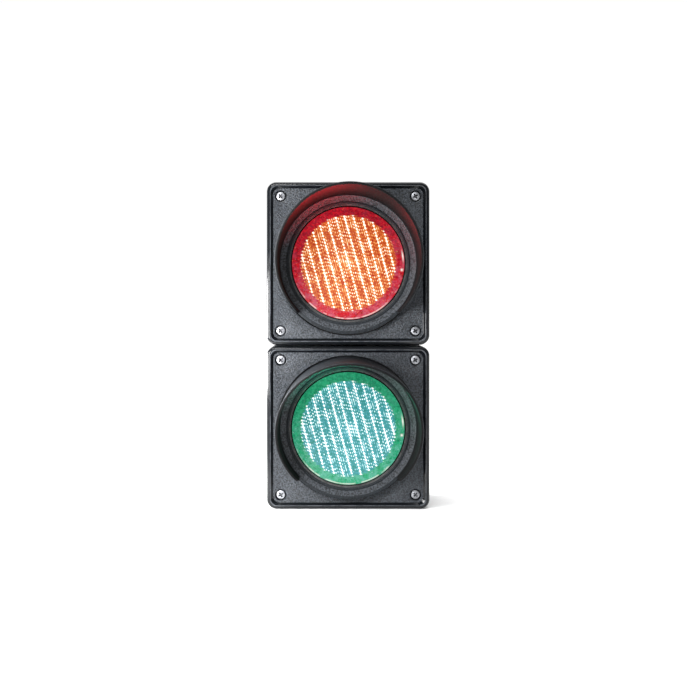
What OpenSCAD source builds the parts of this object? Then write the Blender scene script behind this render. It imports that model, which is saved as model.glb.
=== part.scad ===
// Two-aspect signal light: a red unit stacked on a green one.
// Each unit is a square weatherproof housing with a screwed front cover, a sun visor
// that turns in the cover, a domed lens and a board of LEDs. A hollow threaded nipple
// joins the two housings and lets the upper one swivel on the lower.

/* [Housing] */
// Width and height of one unit
unit_size = 170; // [150:1:210]
// Depth of one unit, from the front rim to the back
unit_depth = 75; // [70:1:110]
// Radius of the unit's four upright corners
corner_radius = 10; // [8:0.5:16]
// Thickness of the housing and cover walls
wall = 3; // [2.5:0.1:4]
// Chamfer round the back of the housing
back_edge = 2; // [1:0.1:3]
// Gap between the stacked units
unit_gap = 1.5; // [1:0.1:4]

/* [Front cover] */
// Depth of the cover, from the front rim to the gasket
cover_depth = 14; // [12:0.5:20]
// Chamfer round the front of the rim
front_edge = 1.6; // [1:0.1:2.5]
// Width of the raised rim
rim_width = 5.4; // [4:0.1:9]
// Width of the slope from the rim down to the field
rim_slope = 1.8; // [1:0.1:2.5]
// Height of the rim above the field
rim_height = 3; // [2:0.1:5]
// Thickness of the cover's face
face = 3; // [2:0.1:4]
// Thickness of the gasket between cover and housing
gasket_thickness = 1.5; // [1:0.1:3]

/* [Cover screws] */
// Distance from a corner screw's axis to the two outer faces
screw_inset = 14.5; // [14:0.5:18]
// Diameter of the screw thread
screw_d = 5; // [4:0.1:6]
// Diameter of the screw head
head_d = 9.5; // [8:0.1:11]
// Height of the screw head
head_h = 3.4; // [2.5:0.1:4]
// Length of the screw under its head
screw_length = 25; // [20:1:30]
// Diameter of the hole the head sits in
counterbore_d = 12; // [11.5:0.1:14]
// Depth of that hole under the field
counterbore_depth = 4.9; // [4:0.1:6]
// Thickness of the seal under the head
screw_seal = 0.8; // [0.5:0.1:1.5]

/* [Visor] */
// Outer diameter of the visor
visor_d = 147.2; // [120:0.2:148]
// Thickness of the visor's wall
visor_wall = 2.8; // [2:0.1:4]
// Reach of the visor's top in front of the field
visor_reach = 97; // [60:1:140]
// Slope of the visor's front, from upright
visor_slope = 27.3; // [15:0.1:32]
// Angle that the visor leaves open at the bottom
visor_opening = 90; // [40:1:120]
// Height of the visor's full ring above the field
collar_height = 8; // [6:0.5:14]
// Width of the groove round the visor
ring_gap = 1.6; // [1:0.1:3]

/* [Lens] */
// Visible diameter of the lens
lens_d = 119.2; // [90:0.2:120]
// Rise of the lens dome above its edge
lens_rise = 8; // [4:0.5:14]
// Thickness of the lens
lens_wall = 3; // [2:0.1:4]
// Width of the lens flange
lens_flange = 4.6; // [3:0.1:6]

/* [LED unit] */
// Spacing of the slanted LED columns
led_column_pitch = 9.2; // [7:0.1:12]
// Spacing of the LED rows
led_row_pitch = 10.2; // [7:0.1:12]
// Slant of the columns from upright
led_slant = 16; // [0:1:30]
// Diameter of the disc that the LEDs fill
led_field_d = 98; // [60:1:100]
// Diameter of one LED
led_d = 5; // [3:0.1:5]
// Diameter of the LED board
board_d = 112; // [104:1:116]

/* [Coupling] */
// Outer diameter of the threaded nipple
nipple_d = 32; // [26:1:36]
// Bore of the nipple
nipple_bore = 25; // [16:1:26]
// Thickness of the locknuts
locknut_h = 6; // [4:0.5:8]
// Diameter of the sunk seat round each coupling hole
seat_d = 42; // [40:1:48]
// Depth of that seat
seat_depth = 2.2; // [1.5:0.1:3]

/* [Mounting] */
// Spacing of the four holes in the back wall
back_hole_spacing = 120; // [100:1:124]
// Diameter of those holes
back_hole_d = 5.5; // [4.5:0.1:6.5]
// Diameter of the cable that the grommet takes
cable_d = 8.4; // [6:0.1:10]
// Height of the cable entry above the base
cable_entry_height = 30; // [26:1:36]

/* [Hidden] */
$fn = 96;

// Clearances
running = 0.05;   // radial, where one piece turns in another
thread = 0.1;     // radial, where a plain shank stands for a thread
apart = 0.3;      // between faces that slide past each other
snug = 0.05;      // between faces of pieces that are fixed together
cut = 1;          // how far a cutting solid runs past the face that it cuts

// Heights are in a unit's own frame: x to the right, y up and z towards the viewer,
// with the origin in the middle of the field, the flat front of the cover.
unit_pitch = unit_size + unit_gap;
rim_z = rim_height;
cover_back_z = rim_z - cover_depth;
housing_front_z = cover_back_z - gasket_thickness;
back_z = rim_z - unit_depth;
floor_z = back_z + wall;
axis_z = (housing_front_z + back_z) / 2;
screw_place = unit_size / 2 - screw_inset;
inner_size = unit_size - 2 * wall;
inner_corner = corner_radius - wall;

// Screw heads: the share of the height that is straight, and the recess and top by diameter
head_side_share = 0.45;
head_top_share = 0.62;
recess_length_share = 0.56;
recess_width_share = 0.13;

// Cover screws, their seals and inserts
gasket_inset = 0.3;
counterbore_z = -counterbore_depth;
head_z = counterbore_z + screw_seal;
screw_hole_d = screw_d + 2 * apart;
boss_wall = 2;
boss_d = counterbore_d + 2 * boss_wall;
insert_d = screw_d + 2.4;
insert_length = 14;
insert_boss_d = insert_d + 2 * wall;
insert_boss_length = screw_length + 6;

// Visor, well and lens stack
visor_r = visor_d / 2;
well_r = visor_r + ring_gap;
well_z = -4;
well_floor = 3;
seat_r = lens_d / 2 + lens_flange;
spigot_wall = 3.4;
spigot_r = seat_r + spigot_wall + snug;
bearing_r = spigot_r + running;
visor_seat_z = well_z + apart;
ring_thickness = 1.6;
ring_slot_depth = 1.4;
ring_width = 4.4;
ring_opening = 9;
ring_slot_z = well_z - well_floor - apart - ring_thickness - 2 * snug;
spigot_end_z = ring_slot_z - ring_thickness;
lip_gap = 1.9;
lip_r = lens_d / 2 + lip_gap;
lip_thickness = 2.8;
funnel_rise = 0.8;
annulus_z = collar_height - funnel_rise;
lip_z = annulus_z - lip_thickness;
seal_slot_depth = 2;
seal_slot_width = 2.6;
seal_slot_r = (spigot_r + visor_r) / 2;
lens_seal_thickness = 0.9;
flange_z = lip_z - lens_seal_thickness;
flange_thickness = 3;
flange_back_z = flange_z - flange_thickness;
lens_sink = 0.4;
lens_edge_z = annulus_z - lens_sink;
dome_r = (pow(lens_d / 2, 2) + pow(lens_rise, 2)) / (2 * lens_rise);
dome_centre_z = lens_edge_z + lens_rise - dome_r;
seal_sink = 0.2;
clamp_thickness = 3;
clamp_width = 6;
clamp_notch = 6;

// LED unit
board_z = -33;
board_thickness = 1.6;
board_back_z = board_z - board_thickness;
led_body_h = 5.6;
led_flange_h = 1;
led_flange = 0.4;
post_place = 34;
post_d = 9;
board_screw_d = 3;
board_screw_head_d = 5.6;
board_screw_head_h = 2.2;
board_screw_length = 10;
driver_size = [56, 34, 14];
driver_y = 6;
led_rows = ceil(led_field_d / led_row_pitch / 2);
led_columns = ceil(led_field_d / led_column_pitch);

// Terminal block and wires
block_size = [44, 20, 16];
block_ways = 3;
way_pitch = 10;
way_d = 3;
way_screw_d = 4;
way_screw_sink = 0.5;
slot_depth = 1;
slot_width = 0.8;
blind_floor = 1;
feed_way_d = 6.2;
wire_z = floor_z + block_size[2] / 2 + 1;
block_screw_place = block_size[0] / 2 - 4;
block_screw_length = block_size[2] + wall - blind_floor - apart;
lead_d = 2.4;
lead_bend = 5;
feed_d = 5.6;
feed_bend = 7;
insertion = 4;

// Coupling
seat_floor = 3;
hole_r = nipple_d / 2 + running;
coupling_wall = seat_depth + seat_floor;
thread_end = 1;
nipple_end = coupling_wall + locknut_h + thread_end;
locknut_r = nipple_d / 2 + 5;
plug_clear = 0.2;
plug_face = 1;
plug_bore = nipple_d - 8;
connector_d = 15;
connector_wall = 2;
connector_floor = 3;
connector_length = 7;
socket_top = unit_size - nipple_end - thread_end;
tail_step = 67;    // from the lower block up to the middle of the cable's step
cable_step = 14.5; // from the upper block down to it

// Mounting
back_boss_d = 13;
back_boss_h = 3;
grommet_web = 3;
grommet_lip = 2.4;
grommet_lip_d = cable_d + 15;
grommet_neck_d = cable_d + 9;
grommet_y = cable_entry_height - unit_size / 2;
block_y = grommet_y + grommet_lip_d / 2 + wall + apart + block_size[1] / 2;

function centre_height(level) = unit_size / 2 + level * unit_pitch;

// A point of the LED pattern, from its column and row
function led_point(column, row) =
    [column * led_column_pitch - row * led_row_pitch * tan(led_slant), row * led_row_pitch];

LED_POINTS = [
    for (row = [-led_rows : led_rows], column = [-led_columns : led_columns])
        if (norm(led_point(column, row)) < (led_field_d - led_d) / 2) led_point(column, row)
];

// ---- Shared shapes ----

// Moves its children from a unit's own frame to the unit's place in the stack
module unit(level) {
    translate([0, axis_z, centre_height(level)])
        rotate([90, 0, 0])
            children();
}

// Places its children on the swivel axis at a height, +Z up
module on_axis(height) {
    translate([0, 0, height]) children();
}

module four_corners(distance) {
    for (x = [-1, 1], y = [-1, 1])
        translate([x * distance, y * distance, 0]) children();
}

module rounded_square(size, radius) {
    square([size, size - 2 * radius], center = true);
    square([size - 2 * radius, size], center = true);
    for (x = [-1, 1], y = [-1, 1])
        translate([x, y] * (size / 2 - radius)) circle(r = radius);
}

// Rounded square block from z = 0 up, with a chamfer round its top
module chamfered_block(size, radius, height, edge) {
    half = size / 2;
    straight = size - 2 * radius;
    side = [
        [-half, 0], [half, 0], [half, height - edge],
        [half - edge, height], [edge - half, height], [-half, height - edge]
    ];
    corner = [[0, 0], [radius, 0], [radius, height - edge], [radius - edge, height], [0, height]];
    rotate([90, 0, 90])
        linear_extrude(straight, center = true) polygon(side);
    rotate([90, 0, 0])
        linear_extrude(straight, center = true) polygon(side);
    for (turn = [0 : 90 : 270])
        rotate(turn)
            translate([straight / 2, straight / 2, 0])
                rotate_extrude(angle = 90) polygon(corner);
}

module tube(outer_r, inner_r, low, high) {
    translate([0, 0, low])
        difference() {
            cylinder(r = outer_r, h = high - low);
            translate([0, 0, -cut]) cylinder(r = inner_r, h = high - low + 2 * cut);
        }
}

module disc(radius, low, high) {
    translate([0, 0, low]) cylinder(r = radius, h = high - low);
}

// Pan-head screw with a cross recess, its head's underside at z = 0 and its tip down
module pan_screw(thread_d, length, head_diameter, head_height) {
    side = head_height * head_side_share;
    arm = head_diameter * recess_length_share;
    arm_width = head_diameter * recess_width_share;
    difference() {
        union() {
            cylinder(d = head_diameter, h = side);
            translate([0, 0, side])
                cylinder(d1 = head_diameter, d2 = head_diameter * head_top_share, h = head_height - side);
            translate([0, 0, -length]) cylinder(d = thread_d, h = length);
        }
        for (turn = [0, 90])
            rotate(turn)
                translate([-arm / 2, -arm_width / 2, side])
                    cube([arm, arm_width, head_height]);
    }
}

// Quarter ring of round wire about the x axis, from +y to +z
module wire_bend(diameter, bend) {
    rotate([90, 0, 90])
        rotate_extrude(angle = 90)
            translate([bend, 0]) circle(d = diameter);
}

// Round wire that leaves the origin along +y, bends towards +z and runs on
module bent_wire(diameter, rise, bend, run) {
    rotate([-90, 0, 0]) cylinder(d = diameter, h = rise);
    translate([0, rise, bend])
        rotate([-90, 0, 0]) wire_bend(diameter, bend);
    translate([0, rise + bend, bend]) cylinder(d = diameter, h = run);
}

// ---- Unit parts, each in the unit's own frame ----

module housing_shell() {
    depth = housing_front_z - back_z;
    difference() {
        translate([0, 0, housing_front_z])
            mirror([0, 0, 1])
                chamfered_block(unit_size, corner_radius, depth, back_edge);
        translate([0, 0, floor_z])
            linear_extrude(depth) rounded_square(inner_size, inner_corner);
    }
}

module insert_boss() {
    reach = inner_size / 2 - screw_place;
    low = housing_front_z - insert_boss_length;
    translate([0, 0, low]) cylinder(d = insert_boss_d, h = insert_boss_length);
    translate([-wall / 2, 0, low]) cube([wall, reach + cut, insert_boss_length]);
    translate([0, -wall / 2, low]) cube([reach + cut, wall, insert_boss_length]);
}

module insert_bosses() {
    for (x = [0, 1], y = [0, 1])
        mirror([x, 0, 0]) mirror([0, y, 0])
            translate([screw_place, screw_place, 0]) insert_boss();
}

// Upright axis through the coupling holes in the unit's top and bottom
module coupling_axis(side) {
    translate([0, side * unit_size / 2, axis_z])
        rotate([side * 90, 0, 0]) children();
}

module housing(with_cable_entry) {
    color("#1b1d20")
        difference() {
            union() {
                housing_shell();
                insert_bosses();
                four_corners(post_place)
                    disc(post_d / 2, floor_z - cut, board_back_z);
                four_corners(back_hole_spacing / 2)
                    disc(back_boss_d / 2, floor_z - cut, floor_z + back_boss_h);
                for (side = [-1, 1])
                    coupling_axis(side)
                        disc(seat_d / 2 + wall, wall - cut, coupling_wall);
                if (with_cable_entry)
                    translate([0, grommet_y, 0])
                        disc(grommet_lip_d / 2 + wall, floor_z - cut, back_z + grommet_lip + grommet_web);
            }
            four_corners(screw_place)
                disc(insert_d / 2 + snug, housing_front_z - insert_length, housing_front_z + cut);
            four_corners(screw_place)
                disc(screw_hole_d / 2, housing_front_z - insert_boss_length + wall, housing_front_z);
            four_corners(post_place)
                disc(board_screw_d / 2 + thread, board_back_z - board_screw_length, board_back_z + cut);
            four_corners(back_hole_spacing / 2)
                disc(back_hole_d / 2, back_z - cut, floor_z + back_boss_h + cut);
            for (side = [-1, 1])
                coupling_axis(side) {
                    disc(seat_d / 2, -cut, seat_depth);
                    disc(hole_r, -cut, coupling_wall + cut);
                }
            for (x = [-1, 1])
                translate([x * block_screw_place, block_y, 0])
                    disc(board_screw_d / 2 + thread, back_z + blind_floor, floor_z + cut);
            if (with_cable_entry)
                translate([0, grommet_y, 0]) {
                    disc(grommet_lip_d / 2 + snug, back_z - cut, back_z + grommet_lip);
                    disc(grommet_neck_d / 2 + snug, back_z - cut, back_z + grommet_lip + grommet_web + cut);
                }
        }
}

module cover_gasket() {
    color("#101010")
        translate([0, 0, housing_front_z])
            linear_extrude(gasket_thickness - apart)
                difference() {
                    rounded_square(unit_size - 2 * gasket_inset, corner_radius - gasket_inset);
                    rounded_square(inner_size, inner_corner);
                }
}

module threaded_inserts() {
    color("#b8963f")
        four_corners(screw_place)
            tube(insert_d / 2, screw_d / 2, housing_front_z - insert_length + snug, housing_front_z);
}

module front_cover() {
    field_size = unit_size - 2 * rim_width;
    color("#26282b")
        difference() {
            union() {
                difference() {
                    translate([0, 0, cover_back_z])
                        chamfered_block(unit_size, corner_radius, cover_depth, front_edge);
                    translate([0, 0, cover_back_z - cut])
                        linear_extrude(-cover_back_z - face + cut)
                            rounded_square(inner_size, inner_corner);
                    translate([0, 0, rim_z + cut])
                        mirror([0, 0, 1])
                            chamfered_block(field_size, corner_radius - rim_slope,
                                            rim_height + cut, rim_slope);
                }
                disc(well_r + wall, well_z - well_floor, -face + cut);
                four_corners(screw_place)
                    disc(boss_d / 2, counterbore_z - face, -face + cut);
            }
            disc(well_r, well_z, cut);
            disc(bearing_r, well_z - well_floor - cut, cut);
            four_corners(screw_place) {
                disc(counterbore_d / 2, counterbore_z, cut);
                disc(screw_hole_d / 2, counterbore_z - face - cut, cut);
            }
        }
}

module cover_screws() {
    color("#d8dadd")
        four_corners(screw_place)
            translate([0, 0, head_z])
                pan_screw(screw_d - 2 * thread, screw_length, head_d, head_h);
}

module screw_seals() {
    color("#101010")
        four_corners(screw_place)
            tube(head_d / 2, screw_hole_d / 2, counterbore_z, head_z);
}

// Everything in front of the visor's sloping front plane, but nothing of its full ring
module visor_front_cut() {
    span = 2 * (visor_reach + visor_d);
    intersection() {
        translate([0, visor_r, visor_reach])
            rotate([visor_slope, 0, 0])
                translate([-span / 2, -span, 0])
                    cube([span, 2 * span, span]);
        translate([-span / 2, -span / 2, collar_height])
            cube([span, span, span]);
    }
}

// Wedge that the visor leaves open at the bottom, in front of its ring
module visor_bottom_cut() {
    far = visor_d;
    half = visor_opening / 2;
    translate([0, 0, collar_height])
        linear_extrude(visor_reach)
            polygon([[0, 0], [-far * tan(half), -far], [far * tan(half), -far]]);
}

module visor() {
    inner_r = visor_r - visor_wall;
    color("#202225")
        difference() {
            union() {
                disc(visor_r, visor_seat_z, visor_reach + cut);
                disc(spigot_r, spigot_end_z, visor_seat_z + cut);
            }
            translate([0, 0, annulus_z])
                cylinder(r1 = lip_r, r2 = inner_r, h = funnel_rise);
            disc(inner_r, annulus_z + funnel_rise, visor_reach + 2 * cut);
            disc(lip_r, lip_z - cut, annulus_z + cut);
            disc(seat_r + snug, spigot_end_z - cut, lip_z);
            tube(spigot_r + cut, spigot_r - ring_slot_depth,
                 ring_slot_z, ring_slot_z + ring_thickness + 2 * snug);
            tube(seal_slot_r + seal_slot_width / 2, seal_slot_r - seal_slot_width / 2,
                 visor_seat_z - cut, visor_seat_z + seal_slot_depth);
            visor_front_cut();
            visor_bottom_cut();
        }
}

module visor_seal() {
    half = seal_slot_width / 2 - snug;
    color("#101010")
        tube(seal_slot_r + half, seal_slot_r - half,
             visor_seat_z - apart / 2, visor_seat_z + seal_slot_depth - snug);
}

module visor_ring() {
    inner_r = spigot_r - ring_slot_depth + snug;
    low = ring_slot_z + snug;
    color("#9a9da1")
        difference() {
            tube(inner_r + ring_width, inner_r, low, low + ring_thickness);
            translate([-ring_opening / 2, 0, low - cut])
                cube([ring_opening, visor_r, ring_thickness + 2 * cut]);
        }
}

// Solid under the lens dome's outer or inner surface, down to a height
module lens_cap(radius, edge_r, low) {
    intersection() {
        translate([0, 0, dome_centre_z]) sphere(r = radius, $fn = 192);
        disc(edge_r, low, lens_edge_z + lens_rise + cut);
    }
}

module lens(tint) {
    color(tint)
        difference() {
            union() {
                disc(seat_r - snug, flange_back_z, flange_z);
                lens_cap(dome_r, lens_d / 2, flange_back_z);
            }
            lens_cap(dome_r - lens_wall, lens_d / 2 - lens_wall, flange_back_z - cut);
        }
}

module lens_seal() {
    inner_r = lens_d / 2 + snug;
    color("#0c0c0c") {
        tube(seat_r - snug, inner_r, flange_z, lip_z);
        tube(lip_r - snug, inner_r, flange_z + lens_seal_thickness, annulus_z - seal_sink);
    }
}

module lens_clamp() {
    low = flange_back_z - clamp_thickness;
    color("#2c2e31")
        difference() {
            tube(seat_r - snug, seat_r - clamp_width, low, flange_back_z);
            for (turn = [0, 90])
                rotate(turn)
                    translate([-seat_r, -clamp_notch / 2, low - cut])
                        cube([2 * seat_r, clamp_notch, cut + clamp_thickness / 2]);
        }
}

module led_board() {
    color("#e9ebe6")
        difference() {
            disc(board_d / 2, board_back_z, board_z);
            four_corners(post_place)
                disc(board_screw_d / 2 + apart, board_back_z - cut, board_z + cut);
        }
}

// One LED: a flange, a round body and a domed top
module led() {
    dome = led_d / 2;
    cylinder(r = dome + led_flange, h = led_flange_h);
    cylinder(r = dome, h = led_body_h);
    translate([0, 0, led_body_h]) sphere(r = dome);
}

function clear_of_screws(point) =
    min([for (x = [-1, 1], y = [-1, 1]) norm(point - [x, y] * post_place)])
        > (board_screw_head_d + led_d) / 2 + led_flange + apart;

module leds(tint) {
    color(tint)
        for (point = LED_POINTS)
            if (clear_of_screws(point))
                translate([point[0], point[1], board_z]) led();
}

module led_driver() {
    color("#17181a")
        translate([-driver_size[0] / 2, driver_y - driver_size[1] / 2, board_back_z - driver_size[2]])
            cube(driver_size);
}

module board_screws() {
    color("#c9cbce")
        four_corners(post_place)
            translate([0, 0, board_z])
                pan_screw(board_screw_d, board_screw_length, board_screw_head_d, board_screw_head_h);
}

function way_x(way) = (way - (block_ways - 1) / 2) * way_pitch;

// A raised block with a wire way through each pole, from top to bottom
module terminal_block() {
    high = floor_z + block_size[2];
    color("#d9d6c8")
        difference() {
            translate([-block_size[0] / 2, block_y - block_size[1] / 2, floor_z])
                cube(block_size);
            for (way = [0 : block_ways - 1])
                translate([way_x(way), block_y, 0])
                    disc(way_screw_d / 2 + snug, wire_z, high + cut);
            for (way = [0 : block_ways - 1])
                translate([way_x(way), block_y - block_size[1] / 2 - cut, wire_z])
                    rotate([-90, 0, 0])
                        cylinder(d = way == 1 ? feed_way_d : way_d, h = block_size[1] + 2 * cut);
            for (x = [-1, 1])
                translate([x * block_screw_place, block_y, 0])
                    disc(board_screw_d / 2 + apart, floor_z - cut, high + cut);
        }
}

module terminal_screws() {
    high = floor_z + block_size[2];
    color("#c9cbce")
        for (way = [0 : block_ways - 1])
            translate([way_x(way), block_y, 0])
                difference() {
                    disc(way_screw_d / 2, wire_z + feed_way_d / 2, high - way_screw_sink);
                    translate([-way_screw_d / 2, -slot_width / 2, high - way_screw_sink - slot_depth])
                        cube([way_screw_d, slot_width, slot_depth + cut]);
                }
}

module block_screws() {
    high = floor_z + block_size[2];
    color("#c9cbce")
        for (x = [-1, 1])
            translate([x * block_screw_place, block_y, high])
                pan_screw(board_screw_d, block_screw_length, board_screw_head_d, board_screw_head_h);
}

// Two wires from the outer ways of the block up to the driver
module led_leads() {
    start_y = block_y + block_size[1] / 2 - insertion;
    rise = driver_y - start_y - lead_bend;
    run = board_back_z - driver_size[2] - wire_z - lead_bend;
    color("#8c1f1c")
        for (x = [way_x(0), way_x(2)])
            translate([x, start_y, wire_z])
                bent_wire(lead_d, rise, lead_bend, run);
}

// ---- Coupling and plugs, on the swivel axis ----

module hex_nut(thickness) {
    difference() {
        cylinder(r = locknut_r, h = thickness, $fn = 6);
        translate([0, 0, -cut]) cylinder(r = nipple_d / 2 + thread, h = thickness + 2 * cut);
    }
}

module coupling_nipple() {
    junction = unit_size + unit_gap / 2;
    reach = unit_gap / 2 + nipple_end;
    color("#8f9296")
        on_axis(junction)
            tube(nipple_d / 2, nipple_bore / 2, -reach, reach);
}

module coupling_seal() {
    color("#101010")
        on_axis(unit_size)
            tube(seat_d / 2 - plug_clear, nipple_d / 2 + thread,
                 -seat_depth, unit_gap + seat_depth - apart);
}

module lower_locknut() {
    color("#b9bcbf")
        on_axis(unit_size - coupling_wall - locknut_h - snug) hex_nut(locknut_h);
}

module upper_locknut() {
    color("#b9bcbf")
        on_axis(unit_pitch + coupling_wall + apart) hex_nut(locknut_h);
}

// Flush plug for a coupling hole that isn't used, its outer face at z = 0 and its stem up
module blanking_plug() {
    color("#202225")
        difference() {
            union() {
                cylinder(r = seat_d / 2 - plug_clear, h = seat_depth);
                cylinder(d = nipple_d, h = nipple_end);
            }
            translate([0, 0, seat_depth + plug_face]) cylinder(d = plug_bore, h = nipple_end);
        }
}

module bottom_plug() {
    blanking_plug();
}

module bottom_plug_nut() {
    color("#b9bcbf")
        on_axis(coupling_wall + snug) hex_nut(locknut_h);
}

module top_plug() {
    on_axis(unit_pitch + unit_size)
        mirror([0, 0, 1]) blanking_plug();
}

module top_plug_nut() {
    color("#b9bcbf")
        on_axis(unit_pitch + unit_size - coupling_wall - locknut_h - snug) hex_nut(locknut_h);
}

// Rubber grommet in the back wall of the lower unit, in that unit's own frame
module cable_grommet() {
    inner_z = back_z + grommet_lip + grommet_web;
    color("#0e0e0e")
        translate([0, grommet_y, 0])
            difference() {
                union() {
                    disc(grommet_lip_d / 2, back_z, back_z + grommet_lip);
                    disc(grommet_neck_d / 2, back_z, inner_z + grommet_lip);
                    disc(grommet_lip_d / 2, inner_z + snug, inner_z + grommet_lip);
                }
                disc(cable_d / 2, back_z - cut, inner_z + grommet_lip + cut);
            }
}

// ---- Feed to the upper unit: cables that meet in a plug and socket on the swivel axis ----

// Half of a stepped cable: a level run along +y from the origin, a bend and a drop
module half_step(run, drop) {
    rotate([-90, 0, 0]) cylinder(d = feed_d, h = run / 2);
    translate([0, run / 2, -feed_bend]) {
        wire_bend(feed_d, feed_bend);
        translate([0, feed_bend, -drop]) cylinder(d = feed_d, h = drop);
    }
}

// Cable between the swivel axis and the terminal blocks' wire ways, stepping at a height
module stepped_cable(height, top, bottom) {
    run = (axis_z - wire_z) - 2 * feed_bend;
    translate([0, (axis_z - wire_z) / 2, height]) {
        half_step(run, height - feed_bend - bottom);
        rotate([180, 0, 0]) half_step(run, top - height - feed_bend);
    }
}

module feed_socket() {
    color("#e6e3d6")
        on_axis(socket_top - connector_length)
            difference() {
                cylinder(d = connector_d, h = connector_length);
                translate([0, 0, connector_floor])
                    cylinder(d = connector_d - 2 * connector_wall, h = connector_length);
            }
}

module feed_plug() {
    pin_length = connector_length - connector_floor - apart;
    color("#e6e3d6")
        on_axis(socket_top + apart) {
            cylinder(d = connector_d, h = connector_length);
            translate([0, 0, -pin_length])
                cylinder(d = connector_d - 2 * connector_wall - 2 * apart, h = pin_length + cut);
        }
}

// From the socket back and down to the lower terminal block
module feed_tail() {
    block_top = centre_height(0) + block_y + block_size[1] / 2;
    color("#3a3c40")
        stepped_cable(block_top + tail_step, socket_top - connector_length, block_top - insertion);
}

// From the upper terminal block forward and down through the nipple to the plug
module feed_cable() {
    block_bottom = centre_height(1) + block_y - block_size[1] / 2;
    color("#3a3c40")
        mirror([0, 1, 0])
            translate([0, wire_z - axis_z, 0])
                stepped_cable(block_bottom - cable_step, block_bottom + insertion,
                              socket_top + apart + connector_length);
}

// ---- Nodes ----

GREEN = "#1f9c6c";
RED = "#c01826";

unit(0) housing(true);  // green_housing
unit(0) cover_gasket();  // green_cover_gasket
unit(0) threaded_inserts();  // green_threaded_inserts
unit(0) front_cover();  // green_front_cover
unit(0) cover_screws();  // green_cover_screws
unit(0) screw_seals();  // green_screw_seals
unit(0) visor();  // green_visor
unit(0) visor_seal();  // green_visor_seal
unit(0) visor_ring();  // green_visor_ring
unit(0) lens(GREEN);  // green_lens
unit(0) lens_seal();  // green_lens_seal
unit(0) lens_clamp();  // green_lens_clamp
unit(0) led_board();  // green_led_board
unit(0) leds(GREEN);  // green_leds
unit(0) led_driver();  // green_led_driver
unit(0) board_screws();  // green_board_screws
unit(0) terminal_block();  // green_terminal_block
unit(0) terminal_screws();  // green_terminal_screws
unit(0) block_screws();  // green_block_screws
unit(0) led_leads();  // green_led_leads
unit(1) housing(false);  // red_housing
unit(1) cover_gasket();  // red_cover_gasket
unit(1) threaded_inserts();  // red_threaded_inserts
unit(1) front_cover();  // red_front_cover
unit(1) cover_screws();  // red_cover_screws
unit(1) screw_seals();  // red_screw_seals
unit(1) visor();  // red_visor
unit(1) visor_seal();  // red_visor_seal
unit(1) visor_ring();  // red_visor_ring
unit(1) lens(RED);  // red_lens
unit(1) lens_seal();  // red_lens_seal
unit(1) lens_clamp();  // red_lens_clamp
unit(1) led_board();  // red_led_board
unit(1) leds(RED);  // red_leds
unit(1) led_driver();  // red_led_driver
unit(1) board_screws();  // red_board_screws
unit(1) terminal_block();  // red_terminal_block
unit(1) terminal_screws();  // red_terminal_screws
unit(1) block_screws();  // red_block_screws
unit(1) led_leads();  // red_led_leads
coupling_nipple();
coupling_seal();
lower_locknut();
upper_locknut();
bottom_plug();
bottom_plug_nut();
top_plug();
top_plug_nut();
unit(0) cable_grommet();
feed_socket();
feed_tail();
feed_plug();
feed_cable();
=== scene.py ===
import bmesh
import bpy
import math
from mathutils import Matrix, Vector
from mathutils.geometry import delaunay_2d_cdt


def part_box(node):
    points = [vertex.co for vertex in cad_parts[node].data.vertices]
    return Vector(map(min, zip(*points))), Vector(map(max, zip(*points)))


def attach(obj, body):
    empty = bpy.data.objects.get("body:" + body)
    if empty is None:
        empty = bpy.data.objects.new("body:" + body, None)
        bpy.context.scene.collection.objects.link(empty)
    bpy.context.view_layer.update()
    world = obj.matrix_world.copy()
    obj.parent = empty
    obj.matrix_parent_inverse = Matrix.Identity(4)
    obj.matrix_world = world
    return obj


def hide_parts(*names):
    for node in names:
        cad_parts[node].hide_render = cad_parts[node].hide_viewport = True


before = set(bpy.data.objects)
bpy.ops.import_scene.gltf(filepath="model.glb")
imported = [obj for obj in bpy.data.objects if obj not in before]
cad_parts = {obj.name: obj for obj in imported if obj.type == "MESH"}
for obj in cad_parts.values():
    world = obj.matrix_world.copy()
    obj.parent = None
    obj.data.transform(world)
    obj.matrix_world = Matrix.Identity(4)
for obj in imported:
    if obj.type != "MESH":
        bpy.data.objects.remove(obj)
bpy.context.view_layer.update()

MM = 0.001
COLOURS = ("green", "red")

# Sizes in millimetres, in a unit's own frame: u to the right, v up, and f towards the
# viewer from the field, the flat front of the cover. Names that end in F are heights on f,
# and names that end in R are radii.

# the cover: its outline, rim, well and counterbores
RIM_F = 3.0
COVER_BACK_F = -11.0
HALF = 85.0
FACE = 3.0
WALL = 3.0
SKIRT_CHAMFER = 0.35
RIM_ROUND = 3.4
RIM_ROUND_STEPS = 8
RIM_FLAT_END = 4.5
SLOPE_WIDTH = 2.1
CORNER = 10.0
CORNER_STEPS = 14
INNER_CORNER = 7.6
WELL_R = 75.2
WELL_F = -4.0
WELL_SOFT = 0.45
WELL_POINTS = 160
BORE_SOFT = 0.4
BORE_POINTS = 48
BEARING_R = 67.7
SCREW_PLACE = 70.5
COUNTERBORE_R = 6.0
COUNTERBORE_F = -4.9
SCREW_HOLE_R = 2.8
BOSS_R = 8.0

# the visor: its wall, the spigot that turns in the cover, and the lip round the lens
VISOR_R = 73.6
VISOR_IN_R = 70.8
VISOR_SEAT_F = -3.7
SPIGOT_R = 67.65
SPIGOT_IN_R = 64.25
SPIGOT_END_F = -10.6
LIP_R = 61.5
LIP_F = 4.4
ANNULUS_F = 7.2
COLLAR_F = 8.0

# the hood: its front edge is a sloping plane, and it spans an angle each side of the top
REACH_MID = 59.0
REACH_SLOPE = math.tan(math.radians(27.3))
HALF_HOOD = 135.0
HOOD_CORNER = 8.0
HOOD_FILLET = 1.3
HOOD_EDGE_SOFT = 0.75
COLLAR_EDGE_SOFT = 0.4
END_PINCH = (0.75, 0.22)

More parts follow.
